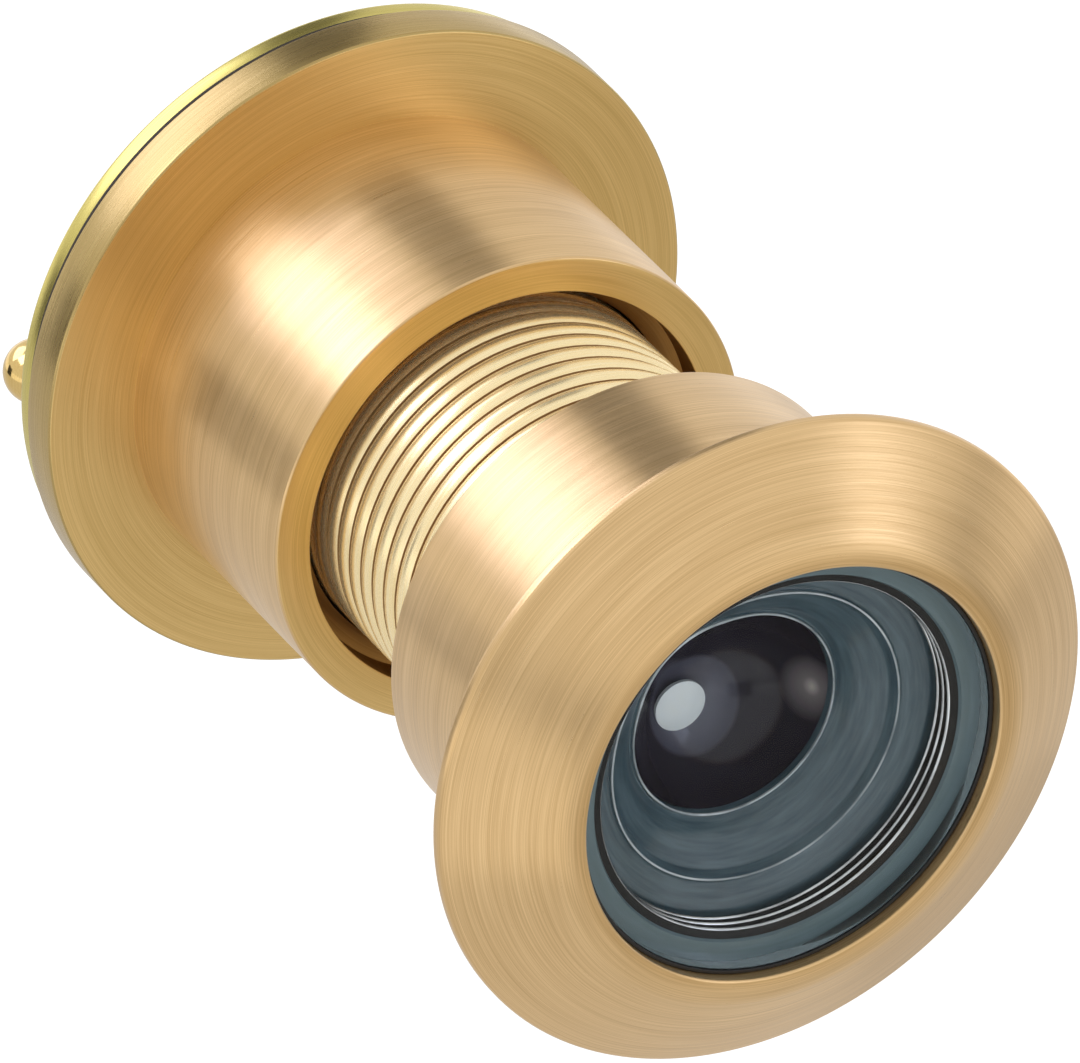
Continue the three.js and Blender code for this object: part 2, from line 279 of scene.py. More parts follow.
def turned_brass(name, dark, light, rough, bump, anisotropy, metal=1.0, coat=0.5):
    """Brass with machining rings round Y: two colours, a roughness span and ring depth."""
    line = RINGS_PER_METRE
    material, nodes, links, shader = new_material(name)
    shader.inputs["Metallic"].default_value = metal
    shader.inputs["Anisotropic"].default_value = anisotropy
    shader.inputs["Anisotropic Rotation"].default_value = QUARTER_TURN
    shader.inputs["Coat Weight"].default_value = coat
    shader.inputs["Coat Roughness"].default_value = LACQUER_ROUGHNESS
    tangent = nodes.new("ShaderNodeTangent")
    tangent.direction_type = "RADIAL"
    tangent.axis = "Y"
    links.new(tangent.outputs[0], shader.inputs["Tangent"])
    hair_line = line * HAIRS_FINER
    band_line = line / BANDS_COARSER
    fine = ring_noise(nodes, links, line, line, around=4.0, detail=4.0)
    hair = ring_noise(nodes, links, hair_line, hair_line, around=1.5)
    broad = ring_noise(nodes, links, band_line, band_line, around=1.2)
    mixed = nodes.new("ShaderNodeMath")
    mixed.operation = "MULTIPLY_ADD"
    mixed.inputs[1].default_value = BAND_SHARE
    links.new(broad, mixed.inputs[0])
    links.new(span(nodes, links, hair, 0.0, HAIR_SHARE), mixed.inputs[2])
    stops = [(DARK_STOP, dark), (LIGHT_STOP, light)]
    colour = ramp(nodes, links, mixed.outputs[0], stops)
    links.new(colour, shader.inputs["Base Color"])
    links.new(span(nodes, links, fine, *rough), shader.inputs["Roughness"])
    relief = nodes.new("ShaderNodeBump")
    relief.inputs["Strength"].default_value = 1.0
    relief.inputs["Distance"].default_value = bump
    links.new(fine, relief.inputs["Height"])
    links.new(relief.outputs[0], shader.inputs["Normal"])
    return material


# %% [markdown]
# ## The brass finishes
# The outside is satin. The flat faces are a little deeper and warmer in colour, which is
# partly the brass and partly a painted reflection of light bounced between brass faces. The
# thread is a paler brass, part metal and part matt, which is painted light on its crests.
# Its notches, the bores and the inner flange's rim get darker copies of the brass, which is
# painted shade. The cover's edge and the knob are polished. Each call gives two colours, a
# span of roughness, the depth of the rings in metres and the anisotropy.

# %% Brass finishes
SMOOTH_CUT = 1e-6
SATIN_CUT = 1.0e-5
satin_brass = turned_brass(
    "satin_turned_brass",
    (0.61, 0.395, 0.170),
    (0.82, 0.565, 0.280),
    (0.21, 0.42),
    SATIN_CUT,
    0.8,
)
# Painted reflection in part: the flat faces' warmer brass stands in partly for light bounced
# between brass faces.
face_glow_brass = turned_brass(
    "faced_painted_glow_brass",
    (0.65, 0.435, 0.155),
    (0.82, 0.575, 0.24),
    (0.24, 0.44),
    SATIN_CUT,
    0.6,
    coat=0.2,
)
# Painted shade: the inner flange's rim gets a darker copy of the brass.
edge_brass = turned_brass(
    "flange_rim_painted_shade",
    (0.43, 0.30, 0.105),
    (0.55, 0.395, 0.16),
    (0.20, 0.36),
    SATIN_CUT,
    0.5,
    coat=0.1,
)
# Painted light: the thread's paler, partly non-metal brass stands in for light that its
# crests catch.
thread_light_paint = turned_brass(
    "thread_painted_light_brass",
    (0.95, 0.74, 0.38),
    (1.0, 0.85, 0.52),
    (0.20, 0.34),
    SMOOTH_CUT,
    0.4,
    metal=0.78,
    coat=0.0,
)
# Painted shade: the thread's notches get a darker copy of the brass for the shade in them.
groove_shade_paint = turned_brass(
    "thread_groove_painted_shade",
    (0.34, 0.19, 0.07),
    (0.46, 0.28, 0.12),
    (0.4, 0.6),
    SMOOTH_CUT,
    0.0,
    metal=0.8,
    coat=0.0,
)
# Painted shade: the bores get a darker copy of the brass for the shade inside them.
bore_brass = turned_brass(
    "shaded_bore_brass",
    (0.36, 0.20, 0.07),
    (0.46, 0.27, 0.10),
    (0.3, 0.5),
    SMOOTH_CUT,
    0.3,
    coat=0.0,
)
print("brass for the housings:", [m.name for m in bpy.data.materials])

# %% Cover finishes
polished_brass = turned_brass(
    "polished_brass", (0.76, 0.58, 0.25), (0.84, 0.66, 0.33), (0.16, 0.28), SMOOTH_CUT, 0.0
)
yellow_brass = turned_brass(
    "yellow_edge_brass",
    (0.60, 0.50, 0.13),
    (0.68, 0.57, 0.18),
    (0.20, 0.32),
    SMOOTH_CUT,
    0.0,
    coat=0.0,
)
# Painted shadow: a near-black brass for the shade in the gap between the cover and the
# flange.
gap_shadow_paint = turned_brass(
    "painted_gap_shadow",
    (0.030, 0.022, 0.014),
    (0.050, 0.038, 0.025),
    (0.5, 0.7),
    SMOOTH_CUT,
    0.0,
    metal=0.3,
    coat=0.0,
)
knob_brass = turned_brass(
    "gold_knob_brass",
    (0.70, 0.48, 0.17),
    (0.80, 0.58, 0.24),
    (0.08, 0.16),
    SMOOTH_CUT,
    0.0,
    coat=0.0,
)
washer_steel = turned_brass(
    "spring_steel", (0.5, 0.51, 0.52), (0.62, 0.63, 0.64), (0.2, 0.35), 5e-7, 0.2
)
print(len(bpy.data.materials), "turned finishes")

# %% [markdown]
# ## Outer half
# One bar of brass is turned to a coned flange, a plain collar and a threaded tube. The
# flange and collar are one outline, from the lip round the opening, down the cone to the
# thin edge, and back along the collar. Drawing it once keeps every corner in line.

# %% Flange and collar
LIP_Y = outer_low.y / MM
LIP_WIDTH = 1.1
CONE_FOOT_R = 18.94
CONE_FOOT_Y = -0.6
EDGE_FRONT_Y = -0.45
COLLAR_R = 13.92
COLLAR_BACK = 13.93
OPENING_R = 12.23
OPENING_FLOOR = 10.4
COLLAR_BORE = 9.6
FLANGE_STEPS = 200

shape = bmesh.new()
outline_wire(
    shape,
    [
        (OPENING_R, LIP_Y, 0.15),
        (OPENING_R + LIP_WIDTH, LIP_Y, 0.7),
        (CONE_FOOT_R, CONE_FOOT_Y, 0.12),
        (FLANGE_R, EDGE_FRONT_Y, 0),
        (FLANGE_R, 0, 0.1),
        (COLLAR_R, 0, 0),
        (COLLAR_R, COLLAR_BACK, 0.15),
        (COLLAR_BORE, COLLAR_BACK, 0),
        (COLLAR_BORE, OPENING_FLOOR, 0),
        (OPENING_R, OPENING_FLOOR, 0),
    ],
    closed=True,
)
spin_round(shape, FLANGE_STEPS)
finish_piece(
    "outer_flange_and_collar",
    shape,
    "outer_half",
    [satin_brass],
    ["outer_housing"],
)

# %% [markdown]
# ## The outside thread
# The thread is cut in a second step, as on the real piece. One tooth's outline, with a
# rounded crest between two narrow notches, is spun with a rise for each step, which makes a
# true screw and not a pile of rings. Two flat cuts trim its ends square, and two circles
# bridged to those ends and to each other give it a bore.

# %% Threaded tube
TUBE_BACK = outer_high.y / MM
TUBE_FRONT = COLLAR_BACK - 0.6
TUBE_BORE = 8.8
THREAD_CREST = 10.75
THREAD_ROOT = 10.35
THREAD_PITCH = 1.25
THREAD_STEPS = 96
THREAD_BULGE = 0.22
THREAD_NOTCH = 0.07
CREST_PARTS = 8


def turn_to_y():
    """The rotation that stands a circle made in XY upright across the Y axis."""
    return Matrix.Rotation(math.radians(90), 3, "X")


def threaded_tube(shape):
    """Add the outside thread and its bore to a bmesh, closed at both ends."""
    crest_width = 1 - 2 * THREAD_NOTCH
    crest = [THREAD_NOTCH + crest_width * i / CREST_PARTS for i in range(CREST_PARTS + 1)]
    tooth = [(THREAD_ROOT, 0)]
    tooth += [
        (THREAD_CREST - THREAD_BULGE * (2 * share - 1) ** 2, share * THREAD_PITCH)
        for share in crest
    ]
    tooth += [(THREAD_ROOT, THREAD_PITCH)]
    start = TUBE_FRONT - 1.9
    turns = math.ceil((TUBE_BACK - start) / THREAD_PITCH) + 1
    dots = [shape.verts.new((r * MM, (start + y) * MM, 0)) for r, y in tooth]
    wire = dots + [shape.edges.new(pair) for pair in zip(dots, dots[1:])]
    bmesh.ops.spin(
        shape,
        geom=wire,
        cent=(0, 0, 0),
        axis=(0, -1, 0),
        dvec=(0, THREAD_PITCH * MM / THREAD_STEPS, 0),
        angle=math.tau * turns,
        steps=THREAD_STEPS * turns,
        use_merge=False,
    )
    bmesh.ops.remove_doubles(shape, verts=shape.verts[:], dist=2e-6)
    for y, clear_inner in ((TUBE_FRONT, True), (TUBE_BACK, False)):
        bmesh.ops.bisect_plane(
            shape,
            geom=shape.verts[:] + shape.edges[:] + shape.faces[:],
            plane_co=(0, y * MM, 0),
            plane_no=(0, 1, 0),
            clear_inner=clear_inner,
            clear_outer=not clear_inner,
        )
    rims = [e for e in shape.edges if e.is_boundary]
    front_rim = [e for e in rims if e.verts[0].co.y < (TUBE_FRONT + 1.6) * MM]
    back_rim = [e for e in rims if e not in front_rim]
    for rim, y in ((front_rim, TUBE_FRONT), (back_rim, TUBE_BACK)):
        made = bmesh.ops.create_circle(shape, segments=THREAD_STEPS, radius=TUBE_BORE * MM)
        bmesh.ops.rotate(shape, verts=made["verts"], cent=(0, 0, 0), matrix=turn_to_y())
        bmesh.ops.translate(shape, verts=made["verts"], vec=(0, y * MM, 0))
        inner = list({e for v in made["verts"] for e in v.link_edges})
        bmesh.ops.bridge_loops(shape, edges=rim + inner)
    bores = [e for e in shape.edges if e.is_boundary]
    bmesh.ops.bridge_loops(shape, edges=bores)
    bmesh.ops.recalc_face_normals(shape, faces=shape.faces[:])


def corner_reaches(mesh, face):
    """How far each corner of a face is from the Y axis, in millimetres."""
    places = [mesh.vertices[k].co for k in face.vertices]
    return [math.hypot(v.x, v.z) / MM for v in places]


shape = bmesh.new()
threaded_tube(shape)
tube = finish_piece(
    "outer_threaded_tube",
    shape,
    "outer_half",
    [thread_light_paint, groove_shade_paint],
    ["outer_housing"],
)
# Faces low in the notches take the painted shade.
IN_GROOVE = 1
GROOVE_TOP = THREAD_CREST - THREAD_BULGE - 0.05
WALL_TOP = TUBE_BORE + 1
for face in tube.data.polygons:
    lowest = min(corner_reaches(tube.data, face))
    face.material_index = IN_GROOVE if WALL_TOP < lowest < GROOVE_TOP else 0

# %% [markdown]
# ## Inner half
# The inner flange and its sleeve are one piece too. The sleeve meets the flange in a sharp
# corner, its mouth is bored wider than the thread, and a step at its back takes the eyepiece.
# The outline is spun once, and then each face gets a finish by where it lies: the bores and
# the rim get darker copies of the brass, which is painted shade, and the flat faces the
# deeper brass with its painted reflection. That is simpler than modelling every cut as a
# piece.

# %% Flange and sleeve
MOUTH_Y = inner_low.y / MM
SEAT_Y = DOOR / MM
BACK_Y = inner_high.y / MM
INSIDE_R = 10.88
MOUTH_R = 11.86
EYEPIECE_R = 8.5
EYEPIECE_FLOOR = BACK_Y - 2.21
PEEPHOLE_R = 7.2
PEEPHOLE_FRONT = BACK_Y - 2.81
sleeve = turned(
    "inner_flange_and_sleeve",
    [
        (MOUTH_R, MOUTH_Y, 0.1),
        (COLLAR_R, MOUTH_Y, 0.15),
        (COLLAR_R, SEAT_Y, 0),
        (FLANGE_R, SEAT_Y, 0.15),
        (FLANGE_R, BACK_Y, 0.06),
        (EYEPIECE_R, BACK_Y, 0.1),
        (EYEPIECE_R, EYEPIECE_FLOOR, 0),
        (PEEPHOLE_R, EYEPIECE_FLOOR, 0),
        (PEEPHOLE_R, PEEPHOLE_FRONT, 0),
        (INSIDE_R, PEEPHOLE_FRONT, 0),
        (INSIDE_R, MOUTH_Y + 2.4, 0),
        (MOUTH_R, MOUTH_Y + 2.0, 0),
    ],
    "inner_half",
    [satin_brass, bore_brass, face_glow_brass, edge_brass],
    ["inner_housing"],
    steps=FLANGE_STEPS,
)
BORED, FACED, EDGED = 1, 2, 3
# Bores and rim: painted shade. Flat faces: brass with a painted warm reflection.
for face in sleeve.data.polygons:
    reach = math.hypot(face.center.x, face.center.z) / MM
    at = face.center.y / MM
    if reach < MOUTH_R + 0.02 and at < SEAT_Y:
        face.material_index = BORED
    elif face.normal.y < -0.9 and at < SEAT_Y + 0.05:
        face.material_index = FACED
    elif reach > FLANGE_R - 0.12:
        face.material_index = EDGED

# %% [markdown]
# ## Optical glass and black parts
# Seen from outside, a wide-angle stack is a clear front lens over a dark well. The clear
# lens is real glass that bends light. The well behind it is a funnel of coated glass on
# black paint, which looks blue-grey, and a deep bowl at its centre, which looks nearly
# black with violet in it. Each is a glossy surface over its own colour, so no light has to
# be traced through the whole stack.

# %% Glass and black recipes
def plain_gloss(
    name, colour_low, colour_high, rough, coat, metallic=0.0, line=2500.0, around=2.0
):
    """A glossy or matt surface with faint rings, for coated glass, paint and rubber."""
    material, nodes, links, shader = new_material(name)
    shader.inputs["Metallic"].default_value = metallic
    shader.inputs["Coat Weight"].default_value = coat
    shader.inputs["Coat Roughness"].default_value = 0.03
    rings = ring_noise(nodes, links, line, line, around, 3.0)
    links.new(
        ramp(nodes, links, rings, [(0.3, colour_low), (0.7, colour_high)]),
        shader.inputs["Base Color"],
    )
    links.new(span(nodes, links, rings, *rough), shader.inputs["Roughness"])
    return material


def clear_glass(name, tint, index):
    """Glass that lets light through and bends it, with a trace of haze."""
    material, nodes, links, shader = new_material(name)
    shader.inputs["Transmission Weight"].default_value = 1.0
    shader.inputs["IOR"].default_value = index
    shader.inputs["Base Color"].default_value = (*tint, 1)
    haze = ring_noise(nodes, links, 400.0, 400.0, 1.0)
    links.new(span(nodes, links, haze, 0.0, 0.02), shader.inputs["Roughness"])
    return material


# %% Black and glass finishes
COATED_INDEX = 1.14
front_glass = clear_glass("front_lens_glass", (0.97, 0.985, 0.985), COATED_INDEX)
funnel_glass = plain_gloss(
    "funnel_glass", (0.026, 0.062, 0.088), (0.112, 0.172, 0.205), (0.25, 0.40), 0.3
)
edge_glass = plain_gloss(
    "ground_glass_edge", (0.11, 0.17, 0.19), (0.16, 0.23, 0.26), (0.35, 0.5), 0.2
)
# Painted highlight: pale glass for the light that the polished rims in the funnel catch.
rim_highlight_paint = plain_gloss(
    "painted_highlight_rim",
    (0.16, 0.21, 0.24),
    (0.80, 0.86, 0.90),
    (0.2, 0.3),
    0.3,
    line=900.0,
    around=2.2,
)
# Painted light: a pale colour for the daylight seen at the bowl's end.
daylight_paint_glass = plain_gloss(
    "bowl_painted_daylight", (0.86, 0.94, 1.0), (0.90, 0.97, 1.0), (0.2, 0.3), 0.2
)
eye_glass = plain_gloss(
    "eyepiece_glass", (0.02, 0.035, 0.04), (0.03, 0.05, 0.055), (0.02, 0.05), 1.0
)
black_paint = plain_gloss(
    "black_lens_paint", (0.004, 0.004, 0.005), (0.008, 0.008, 0.009), (0.6, 0.8), 0.0
)
rubber = plain_gloss(
    "seal_rubber", (0.006, 0.006, 0.006), (0.012, 0.012, 0.012), (0.5, 0.7), 0.0
)
bright_edge = plain_gloss(
    "bright_cut_edge",
    (0.20, 0.20, 0.21),
    (0.90, 0.92, 0.93),
    (0.15, 0.3),
    0.0,
    metallic=1.0,
    line=1200.0,
    around=2.6,
)
print(len(bpy.data.materials), "finishes so far")

# %% [markdown]
# ## The deep bowl's glass
# The bowl at the middle of the stack looks like a black marble. Its colour holds two painted
# marks: a paler glow at its deep end, which is painted light from the room beyond, and one
# small warm spot on its wall, which is a painted reflection. Each is a colour ramp over the
# distance from a place in the bowl, so they stay put when the viewer is seen from another
# side.

# %% Bowl finish
PAINTED_GLOW_REACH = 8.0
PAINTED_SPOT_REACH = 4.0


def near(nodes, links, centre, reach):
    """How far a place is from a centre: 0 there and 1 at the given reach in millimetres."""
    place = nodes.new("ShaderNodeTexCoord")
    away = nodes.new("ShaderNodeVectorMath")
    away.operation = "DISTANCE"
    away.inputs[1].default_value = [v * MM for v in centre]
    links.new(place.outputs["Object"], away.inputs[0])
    share = nodes.new("ShaderNodeMath")
    share.operation = "DIVIDE"
    share.inputs[1].default_value = reach * MM
    links.new(away.outputs["Value"], share.inputs[0])
    return share.outputs[0]


def bowl_finish_with_painted_light(name, painted_glow_centre, painted_spot_centre):
    """Nearly black glass with a painted glow of light at its end and a painted reflection
    spot at its side.
    """
    material, nodes, links, shader = new_material(name)
    # Painted light: a paler glow round the daylight disc at the bowl's end.
    disc = ramp(
        nodes,
        links,
        near(nodes, links, painted_glow_centre, PAINTED_GLOW_REACH),
        [
            (0.00, (0.190, 0.205, 0.260)),
            (0.22, (0.120, 0.125, 0.170)),
            (0.33, (0.075, 0.075, 0.105)),
            (0.36, (0.022, 0.020, 0.033)),
            (0.85, (0.016, 0.013, 0.024)),
        ],
    )
    # Painted reflection: a small warm spot on the bowl's wall.
    spot = ramp(
        nodes,
        links,
        near(nodes, links, painted_spot_centre, PAINTED_SPOT_REACH),
        [(0.0, (0.55, 0.51, 0.47)), (0.14, (0.20, 0.18, 0.18)), (0.50, (0.0, 0.0, 0.0))],
    )
    both = nodes.new("ShaderNodeMix")
    both.data_type = "RGBA"
    both.blend_type = "ADD"
    both.inputs["Factor"].default_value = 1.0
    links.new(disc, both.inputs["A"])
    links.new(spot, both.inputs["B"])
    links.new(both.outputs["Result"], shader.inputs["Base Color"])
    rings = ring_noise(nodes, links, 900.0, 900.0, 1.0)
    links.new(span(nodes, links, rings, 0.08, 0.16), shader.inputs["Roughness"])
    shader.inputs["Specular IOR Level"].default_value = 0.30
    return material


FUNNEL_FRONT, FUNNEL_BACK = (v.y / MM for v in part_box("second_lens"))
BOWL_RIM_Y = FUNNEL_FRONT + 3.2
bowl_painted_light_glass = bowl_finish_with_painted_light(
    "deep_bowl_painted_light",
    painted_glow_centre=(-0.30, BOWL_RIM_Y + 3.7, -1.62),
    painted_spot_centre=(5.45, BOWL_RIM_Y + 0.9, -0.75),
)
print("bowl rim at", round(BOWL_RIM_Y, 2), "mm")

# %% [markdown]
# ## Front lens, its seal and its ground edge
# The front lens is a shallow dome on both sides, so its outline is two arcs joined at the
# rim. A thin black ring seals it into the lip, and its ground edge shows as a grey-green
# band behind the rim. Each is a small outline for the lathe.

# %% Front lens
DOME_PARTS = 12


def dome_outline(rim, rim_y, sag, corner=0.0):
    """Outline dots of a shallow dome from its rim to the axis."""
    radius = (rim * rim + sag * sag) / (2 * abs(sag))
    dots = []
    for i in range(DOME_PARTS + 1):
        r = rim * (1 - i / DOME_PARTS)
        rise = math.sqrt(radius**2 - r**2) - math.sqrt(radius**2 - rim**2)
        dots.append((r, rim_y + math.copysign(rise, sag), corner if i == 0 else 0))
    return dots


lens_low, lens_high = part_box("front_lens")
FRONT_SAG = -0.5
BACK_SAG = -0.9
BACK_LAND = 1.2
LENS_FRONT = lens_low.y / MM - FRONT_SAG
LENS_BACK = lens_high.y / MM
LENS_R = 11.95
front_arc = dome_outline(LENS_R, LENS_FRONT, FRONT_SAG, 0.1)[::-1]
back_rim = dome_outline(LENS_R, LENS_BACK, BACK_SAG)[:1]
back_arc = dome_outline(LENS_R - BACK_LAND, LENS_BACK, BACK_SAG)
turned(
    "front_lens_glass_disc",
    front_arc + back_rim + back_arc,
    "outer_half",
    [front_glass],
    ["front_lens"],
)
SEAL_INNER_R = 11.99
SEAL_OUTER_R = 12.2
SEAL_FRONT = LENS_FRONT - 0.06
turned(
    "front_seal_ring",
    [
        (SEAL_INNER_R, SEAL_FRONT, 0.03),
        (SEAL_OUTER_R, SEAL_FRONT, 0.05),
        (SEAL_OUTER_R, LENS_BACK, 0),
        (SEAL_INNER_R, LENS_BACK, 0),
    ],
    "outer_half",
    [rubber],
    ["front_seal"],
)
SPACER_FRONT, SPACER_BACK = (v.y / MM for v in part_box("front_spacer"))
GROUND_EDGE_R = 12.1
GROUND_EDGE_GAP = 0.02
GROUND_FRONT_R = 10.85
GROUND_BACK_R = 10.75
turned(
    "front_lens_ground_edge",
    [
        (GROUND_EDGE_R, LENS_BACK + GROUND_EDGE_GAP, 0),
        (GROUND_EDGE_R, SPACER_FRONT - GROUND_EDGE_GAP, 0),
        (GROUND_BACK_R, SPACER_FRONT - GROUND_EDGE_GAP, 0),
        (GROUND_FRONT_R, LENS_BACK + GROUND_EDGE_GAP, 0),
    ],
    "outer_half",
    [edge_glass],
    ["front_lens"],
)

# %% [markdown]
# ## Ridged black spacer
# The ring between the two large lenses is ridged inside, so that stray light is caught. Its
# black paint is worn off the crests, which show as thin bright lines. The outline is a saw
# drawn by a loop, and the faces at the crests get the bare metal.

# %% Ridged spacer
SPACER_R = 12.15
RIDGES = 3
RIDGE_CREST = 10.2
RIDGE_ROOT = 10.75
BARE_WIDTH = 0.16
ridge_pitch = (SPACER_BACK - SPACER_FRONT) / RIDGES
spacer_outline = [(SPACER_R, SPACER_FRONT, 0), (SPACER_R, SPACER_BACK, 0)]
for i in range(RIDGES):
    back = SPACER_BACK - i * ridge_pitch
    spacer_outline.append((RIDGE_ROOT, back, 0))
    spacer_outline.append((RIDGE_CREST + 0.02, back - 0.62 * ridge_pitch, 0.03))
    spacer_outline.append((RIDGE_CREST + 0.10, back - 0.80 * ridge_pitch, 0.03))
spacer_outline.append((RIDGE_ROOT, SPACER_FRONT, 0))
ridged = turned(
    "ridged_spacer",
    spacer_outline,
    "outer_half",
    [black_paint, bright_edge],
    ["front_spacer"],
)
for face in ridged.data.polygons:
    farthest = max(corner_reaches(ridged.data, face))
    face.material_index = 1 if farthest < RIDGE_CREST + BARE_WIDTH else 0

# %% [markdown]
# ## Funnel and bowl
# The second lens steps down like a funnel to the rim of the bowl. The steps are flats and
# short walls in one outline. Two fine rings of pale glass at the polished edges of the step
# and of the bowl are a painted highlight, for the light those edges catch all the way round.

# %% Funnel, rims and bowl
FUNNEL_R = 12.1
FUNNEL_WALL_BACK = FUNNEL_BACK - 4.5
turned(
    "funnel_lens",
    [
        (FUNNEL_R, FUNNEL_WALL_BACK, 0),
        (FUNNEL_R, FUNNEL_FRONT, 0),
        (10.2, FUNNEL_FRONT, 0.1),
        (8.75, FUNNEL_FRONT + 0.55, 0.1),
        (8.5, FUNNEL_FRONT + 0.35, 0.05),
        (8.25, FUNNEL_FRONT + 0.9, 0.08),
        (6.8, FUNNEL_FRONT + 2.0, 0.3),
        (6.2, FUNNEL_FRONT + 2.9, 0.1),
        (6.1, FUNNEL_FRONT + 2.75, 0.04),
        (5.95, FUNNEL_FRONT + 3.2, 0.05),
        (5.95, FUNNEL_BACK, 0),
        (8.0, FUNNEL_BACK, 0),
        (8.4, FUNNEL_WALL_BACK, 0),
    ],
    "outer_half",
    [funnel_glass],
    ["second_lens"],
)
RIM_INSIDE = 0.05
RIM_OUTSIDE = 0.06
RIM_DEPTH = 0.12
for rim_name, rim_r, rim_y in (
    ("funnel_step_rim", 8.55, FUNNEL_FRONT + 0.32),
    ("bowl_rim", 6.02, FUNNEL_FRONT + 2.72),
):
    turned(
        rim_name,
        [
            (rim_r - RIM_INSIDE, rim_y + RIM_DEPTH, 0),
            (rim_r - RIM_INSIDE, rim_y, 0.02),
            (rim_r + RIM_OUTSIDE, rim_y, 0.02),
            (rim_r + RIM_OUTSIDE, rim_y + RIM_DEPTH, 0),
        ],
        "outer_half",
        [rim_highlight_paint],
        ["second_lens"],
    )
BOWL_R = 5.9
BOWL_DEPTH = 4.3
turned(
    "deep_bowl_lens",
    dome_outline(BOWL_R, BOWL_RIM_Y, BOWL_DEPTH)[::-1]
    + [(BOWL_R, FUNNEL_BACK, 0), (0, FUNNEL_BACK, 0)],
    "outer_half",
    [bowl_painted_light_glass],
    ["second_lens"],
)

# %% [markdown]
# ## The window in the bowl
# At the bowl's deep end daylight from the room shows as one small pale disc. It is painted
# light: a small lens whose pale colour stands in for that daylight. The bend of the glass
# moves it off the axis, so the lens is turned on the axis as usual and then moved in its mesh
# to where it appears.

# %% Bowl window
WINDOW_R = 1.5
WINDOW_Y = BOWL_RIM_Y + 3.68
WINDOW_FOOT_Y = BOWL_RIM_Y + 3.9
WINDOW_SHIFT = Vector((-1.15, -0.3, -1.25)) * MM
SMALL_STEPS = 64
shape = bmesh.new()
outline_wire(
    shape,
    dome_outline(WINDOW_R, WINDOW_Y, -0.25)[::-1]
    + [(WINDOW_R, WINDOW_FOOT_Y, 0), (0, WINDOW_FOOT_Y, 0)],
    closed=False,
)
spin_round(shape, SMALL_STEPS)
bmesh.ops.translate(shape, vec=WINDOW_SHIFT, verts=shape.verts[:])
finish_piece(
    "bowl_end_painted_daylight", shape, "outer_half", [daylight_paint_glass], ["second_lens"]
)

# %% [markdown]
# ## Eyepiece
# The room side has a small lens behind a slotted ring. It is flat to the eye and domed
# towards the door, with a flat rim that the ring holds.

# %% Eyepiece
EYE_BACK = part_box("eyepiece_lens")[1].y / MM
EYE_RIM_Y = EYE_BACK - 0.75
EYE_R = 8.42
EYE_DOME_R = 7.1
turned(
    "eyepiece_lens_glass",
    dome_outline(EYE_DOME_R, EYE_RIM_Y, -1.0)[::-1]
    + [(EYE_R, EYE_RIM_Y, 0), (EYE_R, EYE_BACK, 0.1), (0, EYE_BACK, 0)],
    "eyepiece",
    [eye_glass],
    ["eyepiece_lens"],
)

# %% [markdown]
# ## Swing cover
# A round cover swings on a rivet over the eyepiece. It is a plain disc with rounded edges.
# The front corner lies in the seam against the flange, and its faces get a near-black painted
# shadow for the shade in that gap, which also shows as a dark ring when the cover is swung
# open. The rest of the edge keeps the stock's yellow.

# %% Cover disc
COVER_FRONT, COVER_BACK = cover_low.y / MM, cover_high.y / MM
COVER_R = cover_high.x / MM
COVER_CORNER = 0.3
disc = turned(
    "cover_disc",
    [
        (0, COVER_FRONT, 0),
        (COVER_R, COVER_FRONT, COVER_CORNER),
        (COVER_R, COVER_BACK, COVER_CORNER),
        (0, COVER_BACK, 0),
    ],
    "cover",
    [polished_brass, gap_shadow_paint, yellow_brass],
    ["cover_plate"],
    steps=FLANGE_STEPS,
)
IN_PAINTED_SHADOW, ON_EDGE = 1, 2
PAINTED_SHADOW_WIDTH = 0.26
# Faces at the front corner take the painted shadow of the gap.
for face in disc.data.polygons:
    reach = math.hypot(face.center.x, face.center.z) / MM
    if reach < COVER_R - COVER_CORNER - 0.01:
        continue
    in_painted_shadow = face.center.y < (COVER_FRONT + PAINTED_SHADOW_WIDTH) * MM
    face.material_index = IN_PAINTED_SHADOW if in_painted_shadow else ON_EDGE

# %% [markdown]
# ## Knob and rivet
# The knob is a ball on a short neck, which is all that a fingertip needs. Its ball is an
# arc of dots that starts a little past the neck and ends on the axis. The rivet opposite
# has a shallow domed head.

# %% Knob and rivet
PIVOT_X = sum(v.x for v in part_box("cover_pivot_rivet")) / 2 / MM
KNOB_X = sum(v.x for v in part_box("cover_knob")) / 2 / MM
KNOB_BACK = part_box("cover_knob")[1].y / MM
BALL_R = 1.78
BALL_Y = KNOB_BACK - BALL_R
BALL_PARTS = 16
NECK_ANGLE = 34
TAIL_R = 0.7
TAIL_FRONT = COVER_FRONT + 0.05
knob_outline = [
    (0, TAIL_FRONT, 0),
    (TAIL_R, TAIL_FRONT, 0),
    (TAIL_R, COVER_BACK, 0),
    (1.0, COVER_BACK + 0.02, 0),
]
for i in range(BALL_PARTS + 1):
    angle = math.radians(NECK_ANGLE + (180 - NECK_ANGLE) * i / BALL_PARTS)
    radius = BALL_R * math.sin(angle) if i < BALL_PARTS else 0
    knob_outline.append((radius, BALL_Y - BALL_R * math.cos(angle), 0))
turned(
    "cover_ball_knob",
    knob_outline,
    "cover",
    [knob_brass],
    ["cover_knob"],
    steps=SMALL_STEPS,
    centre_x=KNOB_X,
)
RIVET_FRONT, RIVET_BACK = (v.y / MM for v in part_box("cover_pivot_rivet"))
SHANK_R = 1.2
HEAD_R = 2.4
HEAD_FRONT = COVER_BACK + 0.1
HEAD_RIM = COVER_BACK + 0.4
